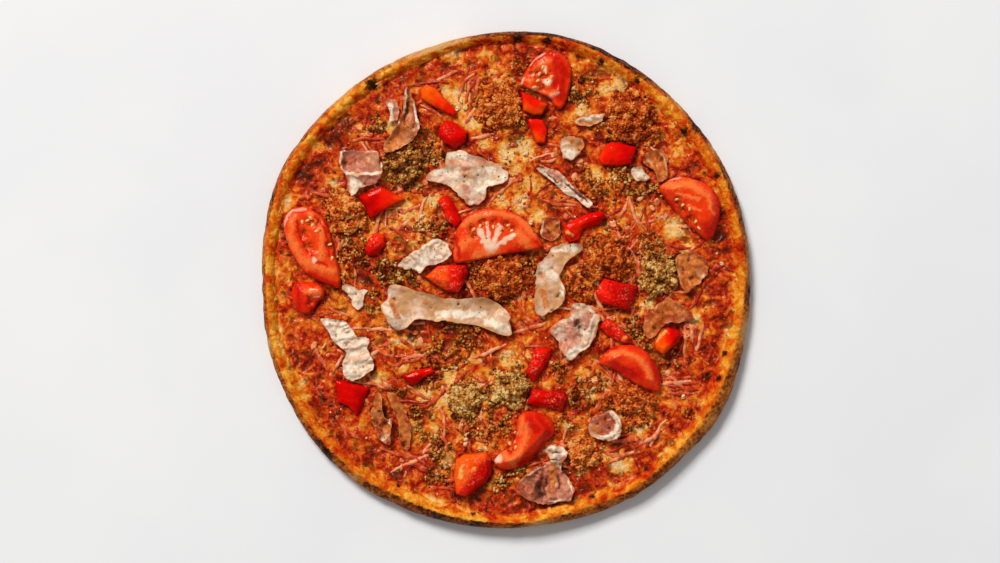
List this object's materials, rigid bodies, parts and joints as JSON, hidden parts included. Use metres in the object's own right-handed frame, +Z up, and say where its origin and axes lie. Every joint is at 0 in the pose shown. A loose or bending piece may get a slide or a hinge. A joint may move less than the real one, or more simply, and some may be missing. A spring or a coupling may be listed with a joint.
{
  "type": "thin crust pizza",
  "caption": "Whole round thin-crust pizza with a raised browned rim, melted cheese and scattered tomato, red pepper, ham, bacon and minced-meat toppings.",
  "frame": {"origin": "middle of the flat underside, on the surface the pizza lies on", "axes": "+Z up through the toppings, +X towards the right side of the picture, +Y towards its top"},
  "size_m": [0.299, 0.3042, 0.02],
  "materials": {
    "crust": "dry baked dough, golden to dark brown",
    "sauce_and_cheese": "oily melted cheese over red sauce",
    "tomato": "wet cut flesh",
    "pepper": "glossy roasted skin",
    "ham": "moist cooked meat with browned edges",
    "bacon": "pale greasy fat with pink streaks",
    "mince": "rough browned crumbs"
  },
  "bodies": {
    "root": {"bacon_1": "bacon", "bacon_10": "bacon", "bacon_11": "bacon", "bacon_12": "bacon", "bacon_13": "bacon", "bacon_14": "bacon", "bacon_15": "bacon", "bacon_16": "bacon", "bacon_2": "bacon", "bacon_3": "bacon", "bacon_4": "bacon", "bacon_5": "bacon", "bacon_6": "bacon", "bacon_7": "bacon", "bacon_8": "bacon", "bacon_9": "bacon", "crust": "crust", "ham_1": "ham", "ham_2": "ham", "ham_3": "ham", "ham_4": "ham", "ham_5": "ham", "ham_6": "ham", "mince_1": "mince", "mince_10": "mince", "mince_11": "mince", "mince_2": "mince", "mince_3": "mince", "mince_4": "mince", "mince_5": "mince", "mince_6": "mince", "mince_7": "mince", "mince_8": "mince", "mince_9": "mince", "pepper_1": "pepper", "pepper_10": "pepper", "pepper_11": "pepper", "pepper_12": "pepper", "pepper_13": "pepper", "pepper_14": "pepper", "pepper_15": "pepper", "pepper_16": "pepper", "pepper_17": "pepper", "pepper_18": "pepper", "pepper_2": "pepper", "pepper_3": "pepper", "pepper_4": "pepper", "pepper_5": "pepper", "pepper_6": "pepper", "pepper_7": "pepper", "pepper_8": "pepper", "pepper_9": "pepper", "sauce_and_cheese": "sauce_and_cheese", "tomato_1": "tomato", "tomato_2": "tomato", "tomato_3": "tomato", "tomato_4": "tomato", "tomato_5": "tomato", "tomato_6": "tomato", "tomato_7": "tomato"}
  },
  "joints": []
}
